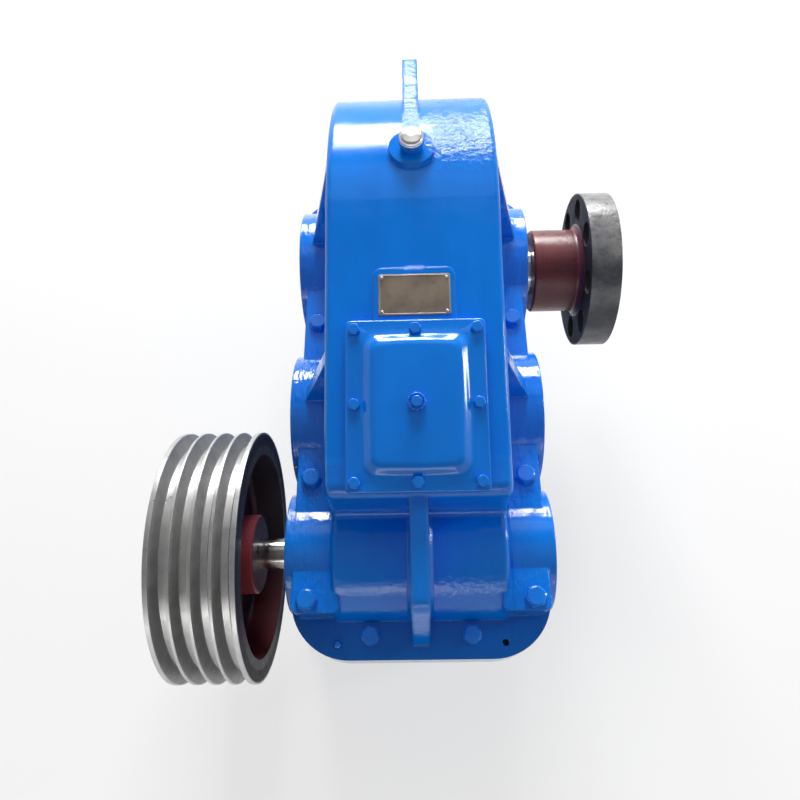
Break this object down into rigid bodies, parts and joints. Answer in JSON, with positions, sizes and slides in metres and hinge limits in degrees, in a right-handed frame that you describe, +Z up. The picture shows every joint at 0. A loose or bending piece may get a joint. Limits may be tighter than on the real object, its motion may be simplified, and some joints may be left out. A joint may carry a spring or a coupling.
{
  "type": "gear reducer",
  "caption": "Two-stage helical gear reducer in a split ribbed casing, with a V-belt pulley on the input shaft and a coupling half with pin holes on the output shaft.",
  "frame": {"origin": "centre of the four foot holes, on the underside of the feet", "axes": "+X along the shafts from the pulley to the coupling, +Y from the input end to the output end, +Z up"},
  "size_m": [0.4834, 0.7215, 0.425],
  "materials": {
    "casing_blue": "glossy enamel over a cast surface",
    "gasket_fibre": "matt",
    "nameplate_metal": "satin, weathered",
    "breather_metal": "satin",
    "sealing_copper": "satin",
    "bearing_steel": "ground",
    "cage_steel": "pressed sheet",
    "gear_steel": "cut and ground",
    "shaft_steel": "turned",
    "seal_rubber": "matt",
    "pulley_iron": "turned rims, primed faces",
    "coupling_iron": "primer over a cast surface"
  },
  "bodies": {
    "housing": {"upper_housing": "casing_blue", "lower_housing": "casing_blue", "inspection_gasket": "gasket_fibre", "inspection_cover": "casing_blue", "inspection_cover_screws": "casing_blue", "cover_plug": "casing_blue", "nameplate": "nameplate_metal", "nameplate_rivets": "nameplate_metal", "breather_body": "casing_blue", "breather_cap": "breather_metal", "bearing_cap_bolts": "casing_blue", "bearing_cap_nuts": "casing_blue", "flange_bolts": "casing_blue", "flange_nuts": "casing_blue", "dowel_pins": "casing_blue", "drain_washer": "sealing_copper", "drain_plug": "casing_blue", "oil_level_washer": "sealing_copper", "oil_level_plug": "casing_blue", "input_bearing_outer_rings": "bearing_steel", "intermediate_bearing_outer_rings": "bearing_steel", "output_bearing_outer_rings": "bearing_steel", "input_seal_cover": "casing_blue", "input_blind_cover": "casing_blue", "output_seal_cover": "casing_blue", "output_blind_cover": "casing_blue", "intermediate_left_cover": "casing_blue", "intermediate_right_cover": "casing_blue", "input_oil_seal": "seal_rubber", "output_oil_seal": "seal_rubber"},
    "input_shaft": {"input_pinion_shaft": "shaft_steel", "pulley_key": "shaft_steel", "v_belt_pulley": "pulley_iron", "pulley_end_plate": "shaft_steel", "pulley_end_screw": "shaft_steel", "input_bearing_inner_rings": "bearing_steel"},
    "intermediate_shaft": {"intermediate_pinion_shaft": "shaft_steel", "high_speed_gear": "gear_steel", "high_speed_gear_key": "shaft_steel", "intermediate_spacer": "shaft_steel", "intermediate_bearing_inner_rings": "bearing_steel"},
    "output_shaft": {"output_shaft": "shaft_steel", "low_speed_gear": "gear_steel", "low_speed_gear_key": "shaft_steel", "coupling_key": "shaft_steel", "output_spacer": "shaft_steel", "coupling_half": "coupling_iron", "output_bearing_inner_rings": "bearing_steel"},
    "input_rollers": {"input_bearing_rollers": "bearing_steel", "input_bearing_cages": "cage_steel"},
    "intermediate_rollers": {"intermediate_bearing_rollers": "bearing_steel", "intermediate_bearing_cages": "cage_steel"},
    "output_rollers": {"output_bearing_rollers": "bearing_steel", "output_bearing_cages": "cage_steel"}
  },
  "joints": [
    {"name": "input_spin", "type": "hinge", "parent": "housing", "child": "input_shaft", "pos_m": [0, -0.242, 0.2], "axis": [1, 0, 0], "continuous": true},
    {"name": "intermediate_spin", "type": "hinge", "parent": "housing", "child": "intermediate_shaft", "pos_m": [0, -0.092, 0.2], "axis": [1, 0, 0], "continuous": true},
    {"name": "output_spin", "type": "hinge", "parent": "housing", "child": "output_shaft", "pos_m": [0, 0.108, 0.2], "axis": [1, 0, 0], "continuous": true},
    {"name": "input_cage_spin", "type": "hinge", "parent": "housing", "child": "input_rollers", "pos_m": [0, -0.242, 0.2], "axis": [1, 0, 0], "continuous": true},
    {"name": "intermediate_cage_spin", "type": "hinge", "parent": "housing", "child": "intermediate_rollers", "pos_m": [0, -0.092, 0.2], "axis": [1, 0, 0], "continuous": true},
    {"name": "output_cage_spin", "type": "hinge", "parent": "housing", "child": "output_rollers", "pos_m": [0, 0.108, 0.2], "axis": [1, 0, 0], "continuous": true}
  ],
  "couplings": [
    {"joint": "intermediate_spin", "follows": "input_spin", "ratio": -0.19277},
    {"joint": "output_spin", "follows": "input_spin", "ratio": 0.031751},
    {"joint": "input_cage_spin", "follows": "input_spin", "ratio": 0.41996},
    {"joint": "intermediate_cage_spin", "follows": "input_spin", "ratio": -0.079072},
    {"joint": "output_cage_spin", "follows": "input_spin", "ratio": 0.013658}
  ]
}
